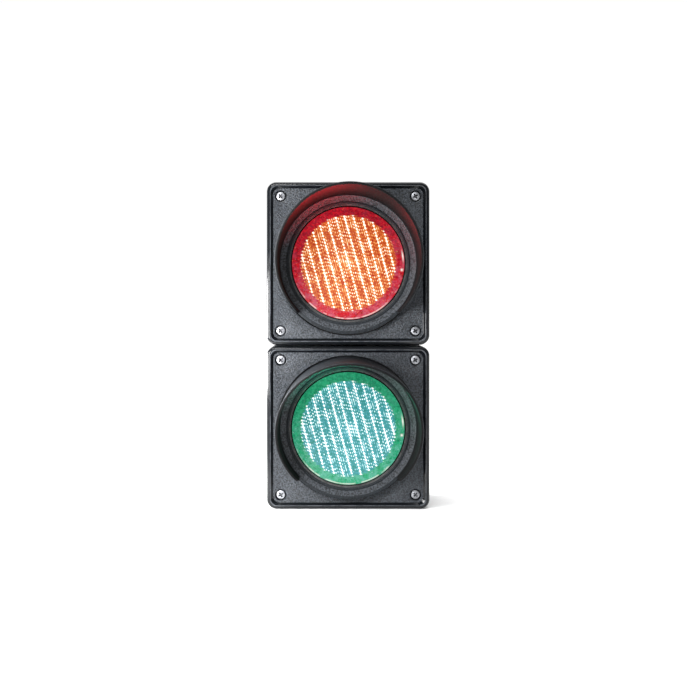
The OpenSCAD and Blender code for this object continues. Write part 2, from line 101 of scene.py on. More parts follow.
# the lens: a dome with a flange
LENS_R = 59.6
LENS_EDGE_F = 6.8
LENS_RISE = 8.0
LENS_WALL = 3.0
LENS_POINTS = 128
FLANGE_R = 64.15
FLANGE_F = 3.5
FLANGE_BACK_F = 0.5

# the cover screws: head, cross recess and shank
HEAD_R = 4.75
HEAD_F = -4.1
HEAD_H = 3.4
HEAD_DOME = 0.95
HEAD_POINTS = 96
HEAD_RINGS = 34
HEAD_TOP_R = 3.9
RECESS_ARM = 2.75
RECESS_HALF_WIDTH = 0.80
RECESS_DEPTH = 1.6
RECESS_WELL_R = 1.35
RECESS_WELL_DEPTH = 0.5
# how far below the head's top the recess takes its painted shade
RECESS_SHADE_DEPTH = 0.35
SHANK_R = 2.4
SHANK_END_F = -29.1

# the pattern of light in the lens: columns, their slant, the beads in them and its edge
LED_PITCH = 9.2
LED_SLANT = math.tan(math.radians(15.5))
BEAD_PITCH = 3.5
LIT_R = 49.3

# which of a mesh's materials a face takes
PLAIN = 0
COVER_RIM = 1
# the crest's material is a painted highlight, on the rim's crest and round each counterbore's edge
COVER_CREST_HIGHLIGHT = 2
VISOR_HOOD_INSIDE = 1
VISOR_COLLAR = 2
# faces down in a screw's cross recess take dark steel as painted shade
SCREW_RECESS_SHADE = 1

# the sides of u and v that the four cover screws are on
CORNERS = ((1, 1), (-1, 1), (-1, -1), (1, -1))


# ---------------------------------------------------------------- mesh helpers

class Shell:
    """Collects points in a unit's frame, in millimetres, and faces with a material index."""

    def __init__(self):
        self.points = []
        self.faces = []
        self.marks = []

    def loop(self, points):
        start = len(self.points)
        self.points += points
        return list(range(start, start + len(points)))

    def face(self, corners, mark=PLAIN):
        self.faces.append(corners)
        self.marks.append(mark)

    def bridge(self, a, b, mark=PLAIN):
        """Joins two closed loops of the same number of points with a band of faces."""
        for i in range(len(a)):
            j = (i + 1) % len(a)
            self.face([a[i], a[j], b[j], b[i]], mark)

    def plate(self, outer, holes, mark=PLAIN, flip=False):
        """Flat faces at one height, between an outer loop and holes, joined to their points."""
        flat = []
        edges = []
        index = []
        for ring in [outer] + holes:
            start = len(flat)
            for k, i in enumerate(ring):
                u, v, _ = self.points[i]
                flat.append(Vector((u, v)))
                index.append(i)
                edges.append((start + k, start + (k + 1) % len(ring)))
        _, _, faces, sources, _, _ = delaunay_2d_cdt(flat, edges, [], 0, 1e-6)
        rings = [[flat_uv(self.points[i]) for i in ring] for ring in holes]
        border = [flat_uv(self.points[i]) for i in outer]
        for tri in faces:
            corners = [index[sources[k][0]] for k in tri]
            middle = [sum(self.points[c][axis] for c in corners) / 3 for axis in (0, 1)]
            if not inside(middle, border) or any(inside(middle, ring) for ring in rings):
                continue
            self.face(corners[::-1] if flip else corners, mark)

    def build(self, name, at, materials, sharp=32.0):
        """The finished object. Edges that turn by more than the angle given are sharp."""
        mesh = bpy.data.meshes.new(name)
        mesh.from_pydata([at(*p) for p in self.points], [], self.faces)
        for material in materials:
            mesh.materials.append(material)
        mesh.polygons.foreach_set("material_index", self.marks)
        mesh.polygons.foreach_set("use_smooth", [True] * len(self.faces))
        mesh.validate()
        fix_normals(mesh)
        mesh.set_sharp_from_angle(angle=math.radians(sharp))
        mesh.update()
        piece = bpy.data.objects.new(name, mesh)
        bpy.context.scene.collection.objects.link(piece)
        return piece


def flat_uv(point):
    return (point[0], point[1])


def inside(point, ring):
    """True if a point is inside a closed loop of points, by counting crossings."""
    x, y = point
    hit = False
    for (x0, y0), (x1, y1) in zip(ring, ring[1:] + ring[:1]):
        if (y0 > y) != (y1 > y) and x < (x1 - x0) * (y - y0) / (y1 - y0) + x0:
            hit = not hit
    return hit


def fix_normals(mesh):
    """Merges points that coincide and turns all faces outwards."""
    bm = bmesh.new()
    bm.from_mesh(mesh)
    bmesh.ops.remove_doubles(bm, verts=bm.verts, dist=1e-7)
    bmesh.ops.recalc_face_normals(bm, faces=bm.faces)
    bm.to_mesh(mesh)
    bm.free()


def rounded_square(half, radius, f):
    """Points of a rounded square, counter-clockwise from the right-hand side."""
    points = []
    for quarter in range(4):
        angle = math.pi / 2 * quarter
        cu = (half - radius) * (1 if quarter in (0, 3) else -1)
        cv = (half - radius) * (1 if quarter in (0, 1) else -1)
        for k in range(CORNER_STEPS + 1):
            a = angle + math.pi / 2 * k / CORNER_STEPS
            points.append((cu + radius * math.cos(a), cv + radius * math.sin(a), f))
    return points


def circle(cu, cv, radius, f, count):
    return [(cu + radius * math.cos(2 * math.pi * k / count),
             cv + radius * math.sin(2 * math.pi * k / count), f) for k in range(count)]


def place(colour):
    """Maps a point in a unit's frame to the frame of the whole object, in metres."""
    low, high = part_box(colour + "_front_cover")
    cx = (low.x + high.x) / 2
    cz = (low.z + high.z) / 2
    field_y = low.y + RIM_F * MM

    def at(u, v, f):
        return Vector((cx + u * MM, field_y - f * MM, cz + v * MM))

    at.centre = (cx, cz)
    return at


# ---------------------------------------------------------------- material helpers

class Look:
    """A procedural material under construction. Lengths in its calls are in millimetres."""

    def __init__(self, name, plain_colour):
        self.material = bpy.data.materials.new(name)
        self.material.use_nodes = True
        self.material.diffuse_color = (*plain_colour, 1)
        self.tree = self.material.node_tree
        self.shader = self.tree.nodes["Principled BSDF"]
        self.coords = self.tree.nodes.new("ShaderNodeTexCoord").outputs["Object"]

    def link(self, source, target):
        """Sets an input to a value, or joins it to another node's output."""
        if isinstance(source, (int, float, tuple)):
            target.default_value = source
        else:
            self.tree.links.new(source, target)

    def node(self, kind, **settings):
        made = self.tree.nodes.new(kind)
        for key, value in settings.items():
            setattr(made, key, value)
        return made

    def math(self, operation, a, b=0.0, clamp=False):
        made = self.node("ShaderNodeMath", operation=operation, use_clamp=clamp)
        self.link(a, made.inputs[0])
        self.link(b, made.inputs[1])
        return made.outputs[0]

    def noise(self, size, detail=3.0, rough=0.55, stretch=(1, 1, 1), offset=(0, 0, 0)):
        mapping = self.node("ShaderNodeMapping")
        self.link(self.coords, mapping.inputs["Vector"])
        mapping.inputs["Scale"].default_value = stretch
        mapping.inputs["Location"].default_value = offset
        made = self.node("ShaderNodeTexNoise")
        self.link(mapping.outputs[0], made.inputs["Vector"])
        made.inputs["Scale"].default_value = 1.0 / (size * MM)
        made.inputs["Detail"].default_value = detail
        made.inputs["Roughness"].default_value = rough
        return made.outputs["Fac"]

    def cells(self, size, randomness):
        """Distance to the nearest point of a scatter this far apart."""
        made = self.node("ShaderNodeTexVoronoi", feature="F1")
        self.link(self.coords, made.inputs["Vector"])
        made.inputs["Scale"].default_value = 1.0 / (size * MM)
        made.inputs["Randomness"].default_value = randomness
        return made.outputs["Distance"]

    def spread(self, value, low, high, to_low=0.0, to_high=1.0, smooth=False):
        made = self.node("ShaderNodeMapRange",
                         interpolation_type="SMOOTHSTEP" if smooth else "LINEAR")
        for i, x in enumerate((value, low, high, to_low, to_high)):
            self.link(x, made.inputs[i])
        return made.outputs[0]

    def ramp(self, value, stops):
        made = self.node("ShaderNodeValToRGB")
        self.link(value, made.inputs[0])
        band = made.color_ramp
        while len(band.elements) < len(stops):
            band.elements.new(0.5)
        for element, (position, colour) in zip(band.elements, stops):
            element.position = position
            element.color = (*colour, 1)
        return made.outputs[0]

    def mix(self, amount, a, b):
        made = self.node("ShaderNodeMix", data_type="RGBA")
        self.link(amount, made.inputs[0])
        self.link((*a, 1) if isinstance(a, tuple) else a, made.inputs[6])
        self.link((*b, 1) if isinstance(b, tuple) else b, made.inputs[7])
        return made.outputs[2]

    def mix_value(self, amount, a, b):
        made = self.node("ShaderNodeMix", data_type="FLOAT")
        self.link(amount, made.inputs[0])
        self.link(a, made.inputs[2])
        self.link(b, made.inputs[3])
        return made.outputs[0]

    def bell(self, value, width):
        """1 where the value is 0, falling away on both sides over this width."""
        share = self.math("DIVIDE", value, width)
        square = self.math("MULTIPLY", share, share)
        return self.math("EXPONENT", self.math("MULTIPLY", square, -1.0))

    def nearest(self, value):
        """The nearest whole number to a value, and how far the value is from it."""
        whole = self.math("FLOOR", self.math("ADD", value, 0.5))
        return whole, self.math("SUBTRACT", value, whole)

    def chance(self, value):
        """A fixed number from 0 to 1 for each value, scattered as if at random."""
        made = self.node("ShaderNodeTexWhiteNoise", noise_dimensions="1D")
        self.link(value, made.inputs["W"])
        return made.outputs["Value"]

    def length(self, a, b):
        return self.math("SQRT", self.math("ADD", self.math("MULTIPLY", a, a),
                                           self.math("MULTIPLY", b, b)))

    def bump(self, height, depth, normal=None):
        made = self.node("ShaderNodeBump")
        made.inputs["Strength"].default_value = 1.0
        made.inputs["Distance"].default_value = depth * MM
        self.link(height, made.inputs["Height"])
        if normal is not None:
            self.link(normal, made.inputs["Normal"])
        return made.outputs[0]

    def edges(self, radius):
        """A normal that rounds the edges, for the worn edges of metal."""
        made = self.node("ShaderNodeBevel", samples=4)
        made.inputs["Radius"].default_value = radius * MM
        return made.outputs[0]

    def put(self, **values):
        """Sets or joins the shader's own inputs, and returns the finished material."""
        names = {"colour": "Base Color", "rough": "Roughness", "normal": "Normal",
                 "metal": "Metallic", "coat": "Coat Weight", "specular": "Specular IOR Level",
                 "glow": "Emission Color", "glow_strength": "Emission Strength"}
        for key, value in values.items():
            if key in ("colour", "glow") and isinstance(value, tuple):
                value = (*value, 1)
            self.link(value, self.shader.inputs[names[key]])
        return self.material


def moulded_plastic(name, dark, light, grain, depth, rough, specular=0.5, wear=0.0,
                    soft=0.14):
    """A grained moulded plastic: pits of one size, a finer grain on them and patchy gloss.

    The grain's size and depth are in millimetres. A small soft gives the tones hard edges.
    """
    look = Look(name, light)
    patch_tone = tuple(0.6 * c for c in light)
    worn_tone = tuple(min(1, 2.2 * c) for c in light)
    pits = look.noise(grain, 2.0, 0.6)
    fine = look.noise(grain * 0.45, 2.0, 0.6, offset=(3, 1, 2))
    patch = look.noise(grain * 30, 2.0, 0.5)
    height = look.math("ADD", look.math("MULTIPLY", pits, 0.7), look.math("MULTIPLY", fine, 0.3))
    tone = look.spread(height, 0.5 - soft, 0.5 + soft)
    colour = look.mix(tone, dark, light)
    colour = look.mix(look.spread(patch, 0.35, 0.7, 0.0, 0.25), colour, patch_tone)
    if wear:
        wear_and_sheen = look.math("MULTIPLY", look.spread(look.noise(grain * 6), 0.55, 0.75), wear)
        colour = look.mix(wear_and_sheen, colour, worn_tone)
    gloss = look.math("ADD", look.spread(patch, 0.3, 0.7, rough - 0.05, rough + 0.06),
                      look.spread(fine, 0.3, 0.7, -0.03, 0.03))
    return look.put(colour=colour, rough=gloss, specular=specular,
                    normal=look.bump(height, depth))


# ---------------------------------------------------------------- camera

camera = bpy.data.objects.new("camera", bpy.data.cameras.new("camera"))
camera.data.sensor_width = 36.0
camera.data.lens = 49.3
camera.data.clip_start = 0.05
camera.data.clip_end = 50.0
camera.data.shift_x = 0.0197
camera.data.shift_y = -0.059
camera.location = (-0.019, -1.026, 0.2152)
camera.rotation_euler = (math.pi / 2, 0, 0)
bpy.context.scene.collection.objects.link(camera)
bpy.context.scene.camera = camera
bpy.context.scene.view_settings.view_transform = "Standard"
bpy.context.scene.view_settings.look = "None"


# ---------------------------------------------------------------- materials

def field_plastic():
    return moulded_plastic("field_plastic", (0.003, 0.004, 0.005), (0.050, 0.058, 0.071),
                           grain=1.7, depth=1.60, rough=0.42, specular=0.42, soft=0.08)


def rim_plastic():
    look = Look("rim_plastic", (0.01, 0.01, 0.012))
    ripple = look.noise(9, 2.0, 0.5)
    fine = look.noise(0.5, 2.0, 0.6)
    smear = look.noise(22, 3.0, 0.6, stretch=(1, 1, 3))
    colour = look.mix(look.spread(fine, 0.3, 0.7), (0.003, 0.004, 0.005), (0.007, 0.008, 0.010))
    normal = look.bump(ripple, 0.12)
    normal = look.bump(fine, 0.010, normal)
    return look.put(colour=colour, rough=look.spread(smear, 0.3, 0.7, 0.10, 0.20),
                    specular=0.30, normal=normal)


def crest_highlight_plastic():
    """The rim's polished crest, with a painted highlight: its plastic is painted lighter than the
    rim, in patches.
    """
    look = Look("crest_highlight_plastic", (0.04, 0.04, 0.045))
    wear_and_sheen = look.spread(look.noise(14, 3.0, 0.6), 0.38, 0.62)
    return look.put(colour=look.mix(wear_and_sheen, (0.022, 0.025, 0.030), (0.060, 0.066, 0.076)),
                    rough=look.spread(wear_and_sheen, 0.0, 1.0, 0.22, 0.34), specular=0.45,
                    normal=look.bump(look.noise(0.5, 2.0, 0.6), 0.010))


def housing_plastic():
    return moulded_plastic("housing_plastic", (0.010, 0.011, 0.013), (0.030, 0.032, 0.036),
                           grain=0.9, depth=0.16, rough=0.42, specular=0.45, wear=0.15)


def visor_plastic():
    return moulded_plastic("visor_plastic", (0.002, 0.003, 0.004), (0.018, 0.022, 0.027),
                           grain=1.7, depth=0.20, rough=0.58, specular=0.20)


def collar_plastic():
    """The visor's plastic on the flat ring round the lens, where it is grained as the field."""
    return moulded_plastic("visor_collar_plastic", (0.002, 0.003, 0.004), (0.046, 0.052, 0.062),
                           grain=1.8, depth=0.60, rough=0.50, specular=0.30, soft=0.08)


def hood_plastic():
    return moulded_plastic("hood_inside_plastic", (0.003, 0.003, 0.003),
                           (0.0085, 0.0082, 0.0088), grain=1.7, depth=0.12, rough=0.74,
                           specular=0.07)


def led_level(look, u, v, radius):
    """How brightly the lens glows, and how much of that is in its lit middle.

    Bright slanted columns of beads, which run together in places, with finer strands of dots
    and streaks between them, a haze over all, and a brighter spot at the centre.
    """
    upright = look.math("ADD", u, look.math("MULTIPLY", v, LED_SLANT))
    slanted = look.math("DIVIDE", upright, LED_PITCH)
    rows = look.math("DIVIDE", v, BEAD_PITCH)
    column, off = look.nearest(slanted)
    _, row_off = look.nearest(look.math("ADD", rows, look.chance(column)))
    bead = look.bell(row_off, 0.34)
    solid = look.spread(look.noise(11, 2.0, 0.6, offset=(5, 0, 3)), 0.42, 0.62)
    width = look.math("ADD", look.spread(bead, 0.0, 1.0, 0.062, 0.118),
                      look.math("MULTIPLY", solid, 0.035))
    beaded = look.spread(bead, 0.0, 1.0, 0.16, 1.12)
    joined = look.spread(bead, 0.0, 1.0, 0.66, 1.12)
    main = look.math("MULTIPLY", look.bell(off, width), look.mix_value(solid, beaded, joined))
    strand, strand_off = look.nearest(look.math("MULTIPLY", slanted, 4.0))
    _, dot_off = look.nearest(look.math("ADD", rows, look.chance(look.math("ADD", strand, 0.37))))
    dot = look.math("MULTIPLY", look.bell(strand_off, 0.30), look.bell(dot_off, 0.27))
    gain = look.spread(look.noise(8, 2.0, 0.6, offset=(2, 7, 1)), 0.40, 0.62, 0.14, 0.95)
    here = look.spread(look.noise(9, 2.0, 0.6, offset=(8, 1, 6)), 0.50, 0.66, 0.0, 0.62)
    streak = look.math("MULTIPLY", look.bell(strand_off, 0.26), here)
    between = look.math("MAXIMUM", look.math("MULTIPLY", dot, gain), streak)
    haze = look.spread(look.noise(2.3, 2.0, 0.7, offset=(1, 2, 3)), 0.36, 0.66, 0.06, 0.34)
    centre = look.math("MULTIPLY", look.bell(radius, 9.0), 0.20)
    level = look.math("ADD", look.math("MAXIMUM", main, between), look.math("ADD", haze, centre))
    reach = look.math("SUBTRACT", radius, look.math("MULTIPLY", bead, 2.0))
    return level, look.spread(reach, LIT_R - 2.4, LIT_R - 0.6, 1.0, 0.0, True)


def painted_highlights(look, u, v, radius):
    """Painted highlights in the lens edge: an arc and a dot at the right, and the lower rim."""
    angle = look.math("ARCTAN2", v, u)
    arc = look.math("MULTIPLY", look.bell(look.math("SUBTRACT", angle, 0.13), 0.085),
                    look.bell(look.math("SUBTRACT", radius, 57.0), 0.75))
    dot = look.bell(look.length(look.math("SUBTRACT", u, 55.5), look.math("ADD", v, 7.0)), 1.25)
    low = look.spread(look.math("MULTIPLY", v, look.spread(
        look.noise(9, 2.0, 0.6), 0.35, 0.6, 0.3, 1.2)), -22, -44, 0.0, 0.6)
    low_arc = look.math("MULTIPLY", look.bell(look.math("SUBTRACT", radius, 57.5), 0.55), low)
    return look.math("MAXIMUM", look.math("MAXIMUM", arc, dot), low_arc)


def lens_edge(look, u, v, colours):
    """The unlit edge of the lens: mottled, with painted shade darker at the top, a painted pale
    reflection below, and flecks that are stronger lower down.
    """
    dark, rim, painted_reflection, hot = colours
    # side is 0 at the top of the lens and 1 at the bottom: with it, shade is painted at the top and
    # a pale reflection below
    side = look.spread(look.math("ADD", look.math("MULTIPLY", u, 0.15),
                                 look.math("MULTIPLY", v, -1.0)), -50, 50)
    mottle = look.noise(2.6, 3.0, 0.65)
    cloud = look.noise(6, 3.0, 0.7, offset=(3, 3, 3))
    edge = look.mix(look.math("ADD", look.spread(mottle, 0.36, 0.60, -0.30, 0.75),
                              look.math("MULTIPLY", side, 0.55), clamp=True), dark, rim)
    edge = look.mix(look.math("MULTIPLY", look.spread(cloud, 0.42, 0.60), look.spread(
        side, 0.15, 0.8, 0.10, 0.75)), edge, painted_reflection)
    fleck = look.spread(look.noise(1.5, 3.0, 0.7, offset=(9, 4, 1)), 0.60, 0.72, 0.0, 0.6)
    return look.mix(look.math("MULTIPLY", fleck, look.spread(side, 0.0, 1.0, 0.35, 1.0)), edge, hot)


def lens_plastic(name, centre, colours):
    """A ribbed lens lit from behind by slanted columns of light-emitting diodes."""
    gap, glow, hot, dark, rim, painted_reflection = colours
    look = Look(name, rim)
    apart = look.node("ShaderNodeSeparateXYZ")
    look.link(look.coords, apart.inputs[0])
    u = look.math("MULTIPLY", look.math("SUBTRACT", apart.outputs[0], centre[0]), 1 / MM)
    v = look.math("MULTIPLY", look.math("SUBTRACT", apart.outputs[2], centre[1]), 1 / MM)
    radius = look.length(u, v)
    level, lit = led_level(look, u, v, radius)
    colour = look.ramp(level, ((0.08, gap), (0.40, glow), (0.70, hot), (0.92, (1.0, 0.97, 0.92))))
    colour = look.mix(lit, lens_edge(look, u, v, (dark, rim, painted_reflection, hot)), colour)
    # painted highlights in near white, which the lens also glows with
    colour = look.mix(painted_highlights(look, u, v, radius), colour, (1.0, 0.93, 0.86))
    shade = look.spread(radius, 58.1, 58.6, 1.0, 0.0, True)
    power = look.spread(look.math("MULTIPLY", level, lit), 0.5, 1.3, 0.95, 1.5)
    ribs = look.math("SINE", look.math("MULTIPLY", v, 2 * math.pi / BEAD_PITCH))
    normal = look.bump(ribs, 0.05, look.bump(look.noise(1.6, 2.0, 0.6), 0.10))
    dull = look.mix(0.88, colour, (0, 0, 0))
    return look.put(colour=look.mix(shade, (0.004, 0.004, 0.004), dull),
                    rough=look.spread(look.noise(4), 0.3, 0.7, 0.16, 0.30),
                    glow=colour, glow_strength=look.math("MULTIPLY", power, shade),
                    normal=normal, specular=0.22)


def metal(name, dark, light, rough, scratch, depth=0.02, bevel=0.0):
    look = Look(name, light)
    tone = look.noise(scratch, 4.0, 0.65)
    lines = look.noise(0.5, 3.0, 0.6, stretch=(1, 1, 14))
    normal = look.bump(lines, depth, look.edges(bevel) if bevel else None)
    return look.put(colour=look.mix(look.spread(tone, 0.3, 0.7), dark, light), metal=1.0,
                    rough=look.spread(look.noise(2.5, 3.0), 0.3, 0.7, rough - 0.06, rough + 0.1),
                    normal=normal)


def rubber(name, dark, light, rough=0.7):
    look = Look(name, light)
    bloom = look.noise(5, 4.0, 0.65)
    return look.put(colour=look.mix(look.spread(bloom, 0.35, 0.65), dark, light),
                    rough=look.spread(look.noise(1.5), 0.3, 0.7, rough - 0.1, rough + 0.08),
                    specular=0.35, normal=look.bump(look.noise(0.35, 2.0), 0.03))


def laminate():
    look = Look("board_laminate", (0.7, 0.7, 0.68))
    weave = look.math("MULTIPLY", look.noise(0.6, 1.0, 0.5, stretch=(1, 1, 6)),
                      look.noise(0.6, 1.0, 0.5, stretch=(6, 1, 1)))
    tracks = look.spread(look.cells(7.5, 0.4), 0.46, 0.50)
    colour = look.mix(look.spread(weave, 0.2, 0.35), (0.62, 0.62, 0.60), (0.74, 0.74, 0.72))
    colour = look.mix(tracks, colour, (0.52, 0.54, 0.50))
    return look.put(colour=colour, rough=look.spread(look.noise(4), 0.3, 0.7, 0.25, 0.4),
                    normal=look.bump(tracks, 0.04))


def wire_look(name, dark, light, rough=0.42):
    look = Look(name, light)
    scuff = look.noise(3.0, 4.0, 0.7)
    return look.put(colour=look.mix(look.spread(scuff, 0.35, 0.65), dark, light),
                    rough=look.spread(scuff, 0.3, 0.7, rough - 0.08, rough + 0.1),
                    normal=look.bump(look.noise(0.5, 2.0), 0.03))


def led_resin(name, tint):
    look = Look(name, tint)
    cloud = look.noise(1.4, 2.0, 0.5)
    colour = look.mix(look.spread(cloud, 0.3, 0.7), tuple(0.6 * c for c in tint), tint)
    return look.put(colour=colour, rough=look.spread(cloud, 0.3, 0.7, 0.08, 0.16), coat=0.4,
                    glow=colour, glow_strength=look.spread(cloud, 0.3, 0.7, 1.4, 2.2),
                    normal=look.bump(cloud, 0.02))


FIELD = field_plastic()
RIM = rim_plastic()
CREST_HIGHLIGHT = crest_highlight_plastic()
VISOR = visor_plastic()
HOOD_INSIDE = hood_plastic()
COLLAR = collar_plastic()
HOUSING = housing_plastic()
BLACK_RUBBER = rubber("black_rubber", (0.010, 0.010, 0.011), (0.028, 0.028, 0.030))
SEAL_RUBBER = rubber("seal_rubber", (0.012, 0.012, 0.013), (0.05, 0.05, 0.05), rough=0.45)
PLATED = metal("plated_steel", (0.29, 0.30, 0.32), (0.48, 0.49, 0.52), rough=0.50,
               scratch=2.2, depth=0.010)
# painted shade: dark steel for the faces down in the screws' cross recesses
RECESS_SHADE = metal("recess_shade_steel", (0.05, 0.05, 0.055), (0.13, 0.13, 0.14), rough=0.45,
               scratch=1.2, depth=0.012)
ZINC = metal("zinc_steel", (0.40, 0.41, 0.42), (0.66, 0.67, 0.68), rough=0.34,
             scratch=5.0, bevel=0.25)
SPRING = metal("spring_steel", (0.16, 0.15, 0.14), (0.34, 0.33, 0.32), rough=0.36,
               scratch=8.0, bevel=0.2)
BRASS = metal("brass", (0.52, 0.34, 0.10), (0.80, 0.58, 0.22), rough=0.3, scratch=4.0,
              bevel=0.2)
LAMINATE = laminate()
CLAMP = moulded_plastic("clamp_plastic", (0.02, 0.02, 0.022), (0.05, 0.05, 0.054),
                        grain=0.6, depth=0.08, rough=0.4)
DRIVER = moulded_plastic("driver_case", (0.03, 0.03, 0.033), (0.08, 0.08, 0.085),
                         grain=0.8, depth=0.1, rough=0.5)
TERMINAL = moulded_plastic("terminal_plastic", (0.52, 0.49, 0.41), (0.68, 0.65, 0.57),
                           grain=0.6, depth=0.06, rough=0.38)
SLEEVE = wire_look("wire_sleeve", (0.30, 0.02, 0.02), (0.55, 0.05, 0.04))
JACKET = wire_look("cable_jacket", (0.010, 0.010, 0.011), (0.035, 0.035, 0.037), rough=0.5)

# the gaps, the glow, the hottest glow, then the unlit edge: dark (painted shade towards the top),
# plain, and the painted pale reflection below
LENS_COLOURS = {
    "red": ((0.40, 0.020, 0.012), (0.72, 0.17, 0.030), (1.0, 0.56, 0.22),
            (0.24, 0.004, 0.014), (0.58, 0.010, 0.022), (0.56, 0.09, 0.15)),
    "green": ((0.030, 0.24, 0.19), (0.065, 0.36, 0.42), (0.50, 0.84, 0.86),
              (0.010, 0.20, 0.095), (0.024, 0.36, 0.17), (0.11, 0.44, 0.32)),
}
LED_TINT = {"red": (0.9, 0.10, 0.04), "green": (0.06, 0.75, 0.35)}


# ---------------------------------------------------------------- front cover

def cover_edge():
    """Skirt, round, crest and inner slope: (inset, f, corner radius), and the crest's place."""
    chamfer = SKIRT_CHAMFER
    profile = [(chamfer, COVER_BACK_F, CORNER - chamfer), (0.0, COVER_BACK_F + chamfer, CORNER)]
    for k in range(RIM_ROUND_STEPS + 1):
        a = math.pi / 2 * k / RIM_ROUND_STEPS
        inset = RIM_ROUND * (1 - math.cos(a))
        profile.append((inset, RIM_F - RIM_ROUND * (1 - math.sin(a)), CORNER - inset))
    crest = len(profile) - 1
    profile.append((RIM_FLAT_END - 0.35, RIM_F - 0.04, CORNER - 2.6))
    profile.append((RIM_FLAT_END, RIM_F - 0.25, CORNER - 2.8))
    bottom = RIM_FLAT_END + SLOPE_WIDTH
    profile.append((bottom - 0.35, 0.40, INNER_CORNER - 1.0))
    profile.append((bottom, 0.10, INNER_CORNER - 1.2))
    profile.append((bottom + 0.5, 0.0, INNER_CORNER - 1.4))
    return profile, crest


def cover_well(shell):
    """The round well that the visor sits in. Returns its front and back loops."""
    front = shell.loop(circle(0, 0, WELL_R + WELL_SOFT, 0.0, WELL_POINTS))
    steps = [(WELL_R + 0.13, -0.13), (WELL_R, -WELL_SOFT), (WELL_R, WELL_F),
             (BEARING_R, WELL_F), (BEARING_R, WELL_F - FACE), (WELL_R + WALL, WELL_F - FACE),
             (WELL_R + WALL, -FACE)]
    ring = front
    for radius, f in steps:
        after = shell.loop(circle(0, 0, radius, f, WELL_POINTS))
        shell.bridge(ring, after, COVER_RIM if radius < WELL_R + 0.01 else PLAIN)
        ring = after
    return front, ring


def counterbore(shell, cu, cv):
    """One screw's counterbore and the boss behind it. Returns its front and back loops."""
    front = shell.loop(circle(cu, cv, COUNTERBORE_R + BORE_SOFT, 0.0, BORE_POINTS))
    # the counterbore's rounded edge takes the crest's painted highlight
    steps = [(COUNTERBORE_R + 0.1, -0.12, COVER_CREST_HIGHLIGHT), (COUNTERBORE_R, -BORE_SOFT, COVER_RIM),
             (COUNTERBORE_R, COUNTERBORE_F, PLAIN), (SCREW_HOLE_R, COUNTERBORE_F, PLAIN),
             (SCREW_HOLE_R, COUNTERBORE_F - FACE, PLAIN),
             (BOSS_R, COUNTERBORE_F - FACE, PLAIN), (BOSS_R, -FACE, COVER_RIM)]
    ring = front
    for radius, f, mark in steps:
        after = shell.loop(circle(cu, cv, radius, f, BORE_POINTS))
        shell.bridge(ring, after, mark)
        ring = after
    return front, ring


def make_cover(colour, at):
    shell = Shell()
    profile, crest = cover_edge()
    loops = [shell.loop(rounded_square(HALF - inset, r, f)) for inset, f, r in profile]
    marks = [COVER_RIM] * (len(loops) - 1)
    # the crest takes the lighter plastic of a painted highlight
    marks[crest] = COVER_CREST_HIGHLIGHT
    marks[-1] = PLAIN
    for a, b, mark in zip(loops, loops[1:], marks):
        shell.bridge(a, b, mark)
    holes = [cover_well(shell)]
    holes += [counterbore(shell, su * SCREW_PLACE, sv * SCREW_PLACE) for su, sv in CORNERS]
    shell.plate(loops[-1], [front for front, _ in holes])
    inner = [shell.loop(rounded_square(HALF - WALL, CORNER - WALL, f))
             for f in (-FACE, COVER_BACK_F)]
    shell.plate(inner[0], [back for _, back in holes], COVER_RIM, flip=True)
    shell.bridge(inner[0], inner[1], COVER_RIM)
    shell.bridge(inner[1], loops[0], COVER_RIM)
    piece = shell.build(colour + "_cover_moulding", at, [FIELD, RIM, CREST_HIGHLIGHT])
    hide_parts(colour + "_front_cover")
    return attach(piece, colour + "_cover")


# ---------------------------------------------------------------- visor

def hood_reach(angle):
    """How far the hood's front edge reaches at this angle from the top, with round corners."""
    corner = HOOD_CORNER
    plane = REACH_MID + REACH_SLOPE * VISOR_R * math.cos(math.radians(angle))
    arc = VISOR_R * math.radians(HALF_HOOD - abs(angle))
    if arc < corner:
        plane -= corner - math.sqrt(max(0.0, corner ** 2 - (corner - arc) ** 2))
    return plane


def visor_section(angle, hood, pinch):
    """The visor's section at one angle: radius and f of each point in turn.

    The hood's wall is pinched at its two ends, which rounds them. Outside the hood the same
    points lie flat on the collar, so that all sections join.
    """
    top = hood_reach(angle) if hood else COLLAR_F
    soft = HOOD_EDGE_SOFT if hood else COLLAR_EDGE_SOFT
    wall_in = VISOR_IN_R + pinch
    wall_out = VISOR_R - pinch
    points = [(SPIGOT_IN_R, LIP_F), (LIP_R, LIP_F), (LIP_R, ANNULUS_F - 0.4),
              (LIP_R + 0.12, ANNULUS_F - 0.12), (LIP_R + 0.4, ANNULUS_F)]
    # a fine groove sets off the bead round the lens
    points += [(LIP_R + 1.9, ANNULUS_F), (LIP_R + 2.2, ANNULUS_F - 0.5),
               (LIP_R + 2.8, ANNULUS_F - 0.5), (LIP_R + 3.1, ANNULUS_F + 0.1)]
    if hood:
        fillet = HOOD_FILLET
        points.append((VISOR_IN_R - fillet, COLLAR_F - 0.1))
        points.append((VISOR_IN_R - 0.35 * fillet, COLLAR_F + 0.25 * fillet))
        points.append((wall_in, COLLAR_F + fillet))
    else:
        points.append((VISOR_IN_R - HOOD_FILLET, COLLAR_F - 0.1))
        points.append((VISOR_IN_R - 0.5, COLLAR_F - 0.04))
        points.append((VISOR_IN_R, COLLAR_F))
    points.append((wall_in, top - soft if hood else COLLAR_F))
    points.append((wall_in + 0.3 * soft, top - 0.3 * soft if hood else COLLAR_F))
    points.append((wall_in + soft, top))
    points.append((wall_out - soft, top))
    points.append((wall_out - 0.3 * soft, top - 0.3 * soft))
    points.append((wall_out, top - soft))
    points.append((wall_out, COLLAR_F - 0.6))
    points += [(VISOR_R, COLLAR_F - 1.2), (VISOR_R, VISOR_SEAT_F), (SPIGOT_R, VISOR_SEAT_F),
               (SPIGOT_R, SPIGOT_END_F), (SPIGOT_IN_R, SPIGOT_END_F)]
    return points


